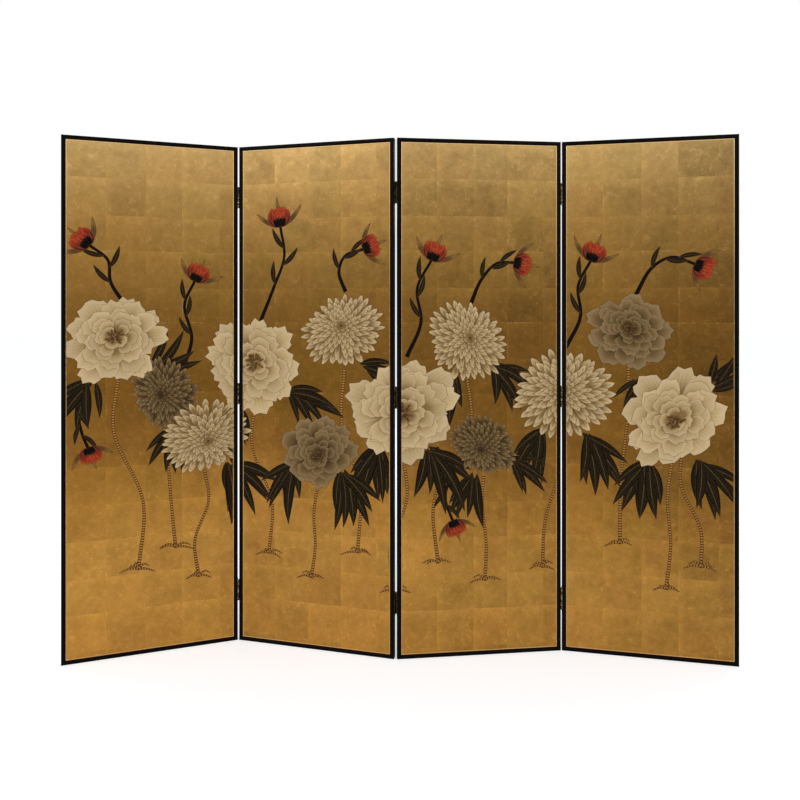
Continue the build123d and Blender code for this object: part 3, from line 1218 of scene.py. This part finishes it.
@dataclass
class Stroke:
    """A long stroke through some knots: a stalk, the neck of a bud or a blade of grass."""

    rng: Random
    knots: np.ndarray
    widths: np.ndarray
    lift: float
    rows: int
    dome: float = 0.1 * MM
    depth: float = 0.05 * MM

    def line(self) -> np.ndarray:
        """Even points along the stroke."""
        return spline(self.knots, self.rows)

    def flake(self) -> PatchSet:
        """A strip along the curve whose width follows the list of widths; along it, shares count centimetres.

        Returns:
            The strip as a set of one flake.
        """
        line = self.line()
        ahead = np.gradient(line, axis=0)
        ahead = ahead / np.linalg.norm(ahead, axis=1)[:, None]
        side = np.stack([-ahead[:, 1], ahead[:, 0]], axis=-1)
        share = np.linspace(0, 1, self.rows)
        half = np.interp(share, np.linspace(0, 1, len(self.widths)), self.widths)[:, None] / 2
        points = (line[:, None, :] + side[:, None, :] * (half * SLIM_COLUMNS)[..., None])[None]
        lift = self.lift + self.dome * (1 - SLIM_COLUMNS ** 2) + np.zeros_like(points[..., 0])
        rim = (1 - np.abs(SLIM_COLUMNS)) * half / MM
        length = np.linalg.norm(np.diff(line, axis=0), axis=1).sum()
        return PatchSet(
            points[..., 0], points[..., 1], lift, np.array([self.lift - self.depth]), rim[None],
            self.rng.uniform(0, 1, 1), np.zeros(1), share * length / (10 * MM), (SLIM_COLUMNS + 1) / 2)


@dataclass
class Frond:
    """A spray of long pointed leaves that spring from one point, with its angles in degrees."""

    rng: Random
    s: float
    z: float
    angle: float
    spread: float
    count: int
    length: float
    droop: float
    lift: float
    leaf_rise: float = 0.06 * MM
    root_stray: float = 8 * MM
    rows: int = 18

    def leaves(self) -> PatchSet:
        """Leaves fanned about the frond's angle, longest in the middle, each on a layer of its own.

        Returns:
            The leaves as a set.
        """
        rng = self.rng
        place = np.linspace(-1, 1, self.count)
        order = rng.permutation(self.count)
        angle = np.radians(self.angle + place * self.spread) + rng.normal(0, 0.07, self.count)
        length = self.length * (1 - 0.28 * np.abs(place)) * rng.uniform(0.84, 1.1, self.count)
        bend = -np.sign(np.cos(angle)) * self.droop * rng.uniform(0.6, 1.3, self.count)
        root = np.array([[self.s, self.z]]) + rng.normal(0, self.root_stray, (self.count, 2))
        half_width = length * rng.uniform(0.085, 0.12, self.count)
        flakes = Flakes(rng, root, angle, length, self.lift, rows=self.rows)
        return flakes.slim(half_width, bend, 0.82, 0.86).raised(order * self.leaf_rise)


@dataclass
class Bud:
    """A red bud that is about to open, in a dark cup with long bracts."""

    rng: Random
    s: float
    z: float
    angle: float
    size: float
    lift: float
    row_rise: float = 0.09 * MM

    def row(self, level: int, count: int, fan: float, length: float, half_width: float,
            roundness: float = 0.62, curl: float = 0.9) -> PatchSet:
        """One row of petals or scales that wrap the bud.

        Args:
            level: the row's number, from the back.
            count: how many.
            fan: the outermost one's turn from the bud's heading, in radians.
            length: their length as a share of the bud's size.
            half_width: half their width as a share of the bud's size.
            roundness: a low power gives blunt tips, 1 gives pointed tips.
            curl: how far the outer ones bend back, as a share of their turn.

        Returns:
            The row as a set.
        """
        heading = math.radians(self.angle)
        turn = np.linspace(-fan, fan, count)
        side = np.array([-math.sin(heading), math.cos(heading)])
        root = np.array([[self.s, self.z]]) + side * turn[:, None] * self.size * 0.10
        lengths = np.full(count, self.size * length) * self.rng.uniform(0.94, 1.05, count)
        flakes = Flakes(self.rng, root, heading + turn, lengths, self.lift + level * self.row_rise)
        return flakes.slim(np.full(count, self.size * half_width), -turn * curl, 1.0, roundness)

    def petals(self) -> PatchSet:
        """Four rows of petals, from the spread ones at the back to the closed ones in front."""
        rows = ((4, 0.95, 0.98, 0.22), (3, 0.6, 1.02, 0.23), (4, 0.55, 0.80, 0.21), (2, 0.2, 0.72, 0.22))
        return joined([self.row(level, *row) for level, row in enumerate(rows)])

    def cup(self) -> PatchSet:
        """The dark scales at the foot of the bud."""
        return self.row(4, 4, 0.8, 0.46, 0.13, 0.85)

    def bracts(self) -> PatchSet:
        """Long pointed ochre bracts beside the bud."""
        return self.row(-1, 3, 1.2, 1.45, 0.12, 0.9, 0.45)


@dataclass
class Painting:
    """A generic garden of full flowers that runs across all four leaves.

    The lifts say how high each kind of shape lies above the boards, from the stalks, which lie lowest.

    Attributes:
        frame_step: two frame bars and the gap between the leaves, which the painting passes behind.
        least_share: shapes that reach less far onto a leaf are left off it.
        flakes: the sets of flakes of each paint so far.
    """

    leaves: list[LeafPlace]
    rng: Random
    frame_step: float = 32.2 * MM
    least_share: float = 1 * MM
    stalk_lift: float = 0.24 * MM
    frond_lift: float = 0.30 * MM
    frond_rise: float = 0.05 * MM
    neck_lift: float = 0.34 * MM
    grass_lift: float = 0.42 * MM
    sprig_lift: float = 0.55 * MM
    bud_lift: float = 0.62 * MM
    flower_lifts: Triple = (0.85 * MM, 1.0 * MM, 1.62 * MM)
    stalk_rows: int = 96
    neck_rows: int = 60
    grass_rows: int = 12
    sprig_rows: int = 18
    flakes: dict[str, list[PatchSet]] = field(default_factory=lambda: defaultdict(list))

    def flowers(self) -> None:
        """Places the flowers: paint, kind, place, radius, squash, lean and layer of each."""
        cream = "blossoms"
        grey = "grey_blossoms"
        peony = Bloom.PEONY
        full = Bloom.CHRYSANTHEMUM
        rows = (
            (grey, full, 340, 925, 138, 0.80, 200, 0), (grey, peony, 905, 715, 150, 0.84, -60, 0),
            (grey, full, 1500, 745, 132, 0.76, -120, 0), (grey, peony, 2015, 1150, 152, 0.86, 70, 0),
            (cream, peony, 178, 1118, 176, 0.88, 120, 1), (cream, peony, 655, 1025, 192, 0.92, 60, 1),
            (cream, full, 480, 765, 166, 0.78, -70, 2), (cream, full, 1000, 1150, 160, 0.80, 110, 2),
            (cream, peony, 1215, 875, 200, 0.92, -80, 1), (cream, full, 1440, 1115, 158, 0.84, 40, 2),
            (cream, full, 1790, 925, 184, 0.88, 100, 1), (cream, peony, 2160, 850, 190, 0.86, -50, 2),
        )
        for paint, kind, s, z, radius, squash, lean, layer in rows:
            lift = self.flower_lifts[layer]
            flower = Blossom(self.rng, kind, s * MM, z * MM, radius * MM, lift, squash, lean)
            self.flakes[f"{paint}_{kind.name.lower()}"].append(flower.petals())
            if kind is peony:
                self.flakes["stamens"].append(flower.stamens())

    def foliage(self) -> None:
        """Places the dark sprays: place, angle, spread, count, length and droop of each."""
        rows = (
            (95, 980, -115, 40, 6, 210, 0.3), (300, 1010, 20, 34, 5, 190, -0.4),
            (370, 800, -100, 45, 6, 190, 0.3), (560, 660, -55, 42, 7, 235, 0.4),
            (610, 870, -110, 30, 5, 190, 0.3), (800, 930, -25, 36, 6, 215, 0.5),
            (800, 660, -115, 40, 6, 215, 0.35), (1000, 640, -60, 40, 7, 225, 0.4),
            (1085, 1020, -15, 30, 5, 180, 0.5), (1130, 740, -105, 38, 6, 220, 0.3),
            (1300, 730, -50, 40, 7, 235, 0.4), (1390, 990, -110, 34, 5, 170, 0.3),
            (1540, 1030, -30, 36, 6, 205, 0.5), (1460, 640, -105, 38, 6, 195, 0.3),
            (1600, 690, -30, 32, 5, 180, 0.4), (1720, 800, -115, 38, 6, 215, 0.3),
            (1870, 780, -60, 40, 7, 230, 0.4), (2060, 990, -120, 30, 5, 165, 0.3),
            (2080, 690, -110, 40, 7, 235, 0.3), (2250, 700, -55, 40, 7, 235, 0.4),
            (2290, 960, 40, 34, 5, 170, -0.3),
        )
        for turn, (s, z, angle, spread, count, length, droop) in enumerate(rows):
            lift = self.frond_lift + self.frond_rise * (turn % 3)
            frond = Frond(self.rng, s * MM, z * MM, angle, spread, count, length * MM, droop, lift)
            self.flakes["foliage"].append(frond.leaves())

    def stalks(self) -> None:
        """Places the ringed stalks, with grass at their feet: foot, low end, head and high end of each."""
        rng = self.rng
        rows = (
            (250, 300, 185, 1000), (375, 365, 335, 800), (455, 250, 475, 640), (715, 330, 660, 880),
            (880, 255, 905, 590), (1055, 360, 1005, 1010), (1185, 235, 1215, 700), (1335, 330, 1440, 1000),
            (1505, 262, 1500, 640), (1715, 300, 1785, 780), (1985, 395, 2015, 1040), (2140, 245, 2160, 700),
            (2255, 330, 2190, 720),
        )
        for foot, low, head, high in rows:
            sway = rng.uniform(-16, 16)
            knots = millimetres((foot, low), (foot + sway, low * 0.65 + high * 0.35),
                                (head - sway, low * 0.3 + high * 0.7), (head, high))
            stalk = Stroke(rng, knots, millimetres(13, 10, 9.5, 11), self.stalk_lift, self.stalk_rows)
            self.flakes["stalks"].append(stalk.flake())
            for angle in rng.uniform(-0.3, 0.3, 5) + np.array([0.2, 0.7, 1.6, 2.4, 2.95]):
                reach = rng.uniform(38, 66)
                rise = math.sin(angle) * reach
                run = math.cos(angle) * reach
                knots = millimetres((foot, low + 6), (foot + run * 0.5, low + 2 + rise * 0.42),
                                    (foot + run, low - 10 + rise * 0.5))
                blade = Stroke(rng, knots, millimetres(9, 7, 2), self.grass_lift, self.grass_rows)
                self.flakes["grass"].append(blade.flake())

    def sprigs(self, neck: np.ndarray, size: float) -> None:
        """Places three small leaves along the neck of a bud: the row they spring from, and the side.

        Args:
            neck: the points along the neck.
            size: the size of the bud.
        """
        for row, side in ((24, 1), (36, -1), (46, 1)):
            ahead = neck[row + 1] - neck[row]
            turn = np.array([math.atan2(ahead[1], ahead[0]) + side * 0.7])
            length = np.array([1.25 * size])
            leaf = Flakes(self.rng, neck[row][None, :], turn, length, self.sprig_lift, rows=self.sprig_rows)
            half_width = np.array([0.13 * size])
            self.flakes["foliage"].append(leaf.slim(half_width, np.array([-side * 0.5]), 0.85, 0.85))

    def buds(self) -> None:
        """Places the red buds on their curved dark necks: the bud's angle and size, and the neck's path."""
        rows = (
            (140, 68, (215, 1230), (160, 1320), (150, 1400), (92, 1450)),
            (65, 64, (395, 1000), (430, 1120), (405, 1240), (440, 1330)),
            (-70, 58, (60, 960), (52, 880), (66, 800), (86, 745)),
            (98, 72, (680, 1180), (735, 1310), (775, 1420), (760, 1530)),
            (20, 64, (1010, 1290), (985, 1360), (1010, 1420), (1075, 1440)),
            (68, 68, (1225, 1060), (1275, 1180), (1262, 1300), (1312, 1400)),
            (-10, 64, (1455, 1250), (1490, 1330), (1545, 1390), (1610, 1395)),
            (-70, 58, (1330, 740), (1375, 650), (1362, 560), (1388, 480)),
            (68, 68, (1800, 1090), (1850, 1200), (1842, 1310), (1885, 1400)),
            (-25, 66, (2040, 1280), (2090, 1370), (2160, 1410), (2235, 1385)),
        )
        for angle, size, *path in rows:
            knots = millimetres(*path)
            widths = millimetres(15, 12, 10, 10)
            neck = Stroke(self.rng, knots, widths, self.neck_lift, self.neck_rows)
            self.flakes["necks"].append(neck.flake())
            self.sprigs(neck.line(), size * MM)
            bud = Bud(self.rng, *knots[-1], angle, size * MM, self.bud_lift)
            self.flakes["buds"].append(bud.petals())
            self.flakes["cups"].append(bud.cup())
            self.flakes["bracts"].append(bud.bracts())

    def build(self) -> None:
        """Makes every painted piece, leaf by leaf."""
        self.stalks()
        self.foliage()
        self.flowers()
        self.buds()
        materials = {finish: finish.material() for finish in dict.fromkeys(PAINTS.values())}
        for leaf in self.leaves:
            offset = (leaf.number - 1) * (leaf.width + self.frame_step) + self.frame_step / 2
            for paint, finish in PAINTS.items():
                relief = Relief(f"{leaf.body}_{paint}", leaf, materials[finish])
                for flakes in self.flakes[paint]:
                    low = flakes.s.min(axis=(1, 2)) - offset
                    high = flakes.s.max(axis=(1, 2)) - offset
                    here = (high > self.least_share) & (low < leaf.width - self.least_share)
                    relief.add(flakes.chosen(here), offset)
                relief.build()


def dress_joinery(nodes: dict[str, bpy.types.Object]) -> None:
    """Gives every CAD node the finish that goes with the last words of its name.

    Args:
        nodes: the frames, boards, cores, pins, hinges and screws by their names.
    """
    materials = {finish: finish.material() for finish in dict.fromkeys(NODE_FINISHES.values())}
    for name, node in nodes.items():
        finish = next(finish for ending, finish in NODE_FINISHES.items() if name.endswith(ending))
        node.data.materials.clear()
        node.data.materials.append(materials[finish])
        log.info("%s: %s", name, finish.name)


@dataclass
class Studio:
    """The pale floor, the soft boxes, the white surroundings and the camera.

    Attributes:
        shift: how far the view is shifted down, so that the uprights stay upright.
        floor_glow: how much brighter the floor is seen than it is lit.
        surround: how bright the white surroundings are as a light.
        lamps: the soft boxes' names, places and watts.
        aim: the point that they face.
    """

    eye: Triple = (0.0025, -2.3162, 1.2237)
    lens: float = 29.025
    sensor: float = 36.0
    shift: float = -0.1120
    floor_size: float = 60.0
    floor_colour: Colour = (243, 248, 254)
    floor_glow: float = 0.36
    surround: float = 0.70
    lamps: tuple[tuple[str, Triple, float], ...] = (
        ("key", (-3.4, -3.6, 3.9), 77), ("fill", (3.6, -3.6, 2.8), 49), ("back", (0.5, 4.2, 3.4), 60),
    )
    lamp_size: tuple[float, float] = (3.4, 2.6)
    aim: Triple = (0, 0, 0.9)

    def camera(self) -> None:
        """A level camera that looks along +Y."""
        data = bpy.data.cameras.new("camera")
        data.lens = self.lens
        data.sensor_width = self.sensor
        data.shift_y = self.shift
        data.clip_end = 200
        camera = add_object("camera", data)
        camera.location = self.eye
        camera.rotation_euler = (math.pi / 2, 0, 0)
        bpy.context.scene.camera = camera

    def surroundings(self) -> None:
        """White where it is seen, and softer where it only lights the object."""
        world = bpy.data.worlds.new("studio")
        bpy.context.scene.world = world
        world.use_nodes = True
        wiring = Wiring(world.node_tree)
        seen = wiring.seen_directly()
        level = wiring.node("MapRange", {"Value": seen, "To Min": self.surround, "To Max": 1.0})
        background = wiring.node("Background", {"Color": WHITE, "Strength": level.outputs["Result"]})
        wiring.node("OutputWorld", {"Surface": background.outputs["Background"]})

    def floor(self) -> None:
        """A pale floor that is seen a little brighter than it is lit, and keeps the shadow."""
        half = self.floor_size / 2
        mesh = bpy.data.meshes.new("floor")
        corners = [(-half, -half, 0), (half, -half, 0), (half, half, 0), (-half, half, 0)]
        mesh.from_pydata(corners, [], [(0, 1, 2, 3)])
        shader = Shader("floor_paint", 0.9, specular=0.0)
        shader.colour(linear(self.floor_colour))
        shader.put(shader.surface.inputs["Emission Color"], WHITE)
        glow = shader.times(shader.seen_directly(), self.floor_glow)
        shader.put(shader.surface.inputs["Emission Strength"], glow)
        mesh.materials.append(shader.material)
        add_object("floor", mesh)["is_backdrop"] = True

    def lights(self) -> None:
        """Hangs the soft boxes."""
        for name, place, power in self.lamps:
            data = bpy.data.lights.new(name, "AREA")
            data.shape = "RECTANGLE"
            data.size = self.lamp_size[0]
            data.size_y = self.lamp_size[1]
            data.energy = power
            lamp = add_object(name, data)
            lamp.location = place
            lamp.rotation_euler = (Vector(self.aim) - Vector(place)).to_track_quat("-Z", "Y").to_euler()

    def build(self) -> None:
        """Sets up the whole studio."""
        bpy.context.scene.view_settings.view_transform = "Standard"
        self.camera()
        self.surroundings()
        self.floor()
        self.lights()
        log.info("studio: camera, surroundings, floor and soft boxes")


def main() -> None:
    """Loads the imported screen, dresses it, adds the gold and the painting, and sets the studio."""
    logging.basicConfig(level=logging.INFO, format="%(message)s")
    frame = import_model()
    cad_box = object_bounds()
    Studio().build()
    dress_joinery(frame["nodes"])
    leaves = [
        LeafPlace.of_board(number, frame["nodes"][f"panel_{number}_face_board"])
        for number in range(1, LEAF_COUNT + 1)
    ]
    gold = GoldLeafFinish().material()
    gilt = GiltFinish().material()
    rng = np.random.default_rng(GOLD_SEED)
    for leaf in leaves:
        GoldLeafField(leaf, rng).build(gold)
        GiltBead(leaf).build(gilt)
    Painting(leaves, np.random.default_rng(PAINTING_SEED)).build()
    boxes = [[list(map(float, corner)) for corner in box] for box in (cad_box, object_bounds())]
    {"cad": boxes[0], "visual": boxes[1]}


if __name__ == "__main__":
    main()
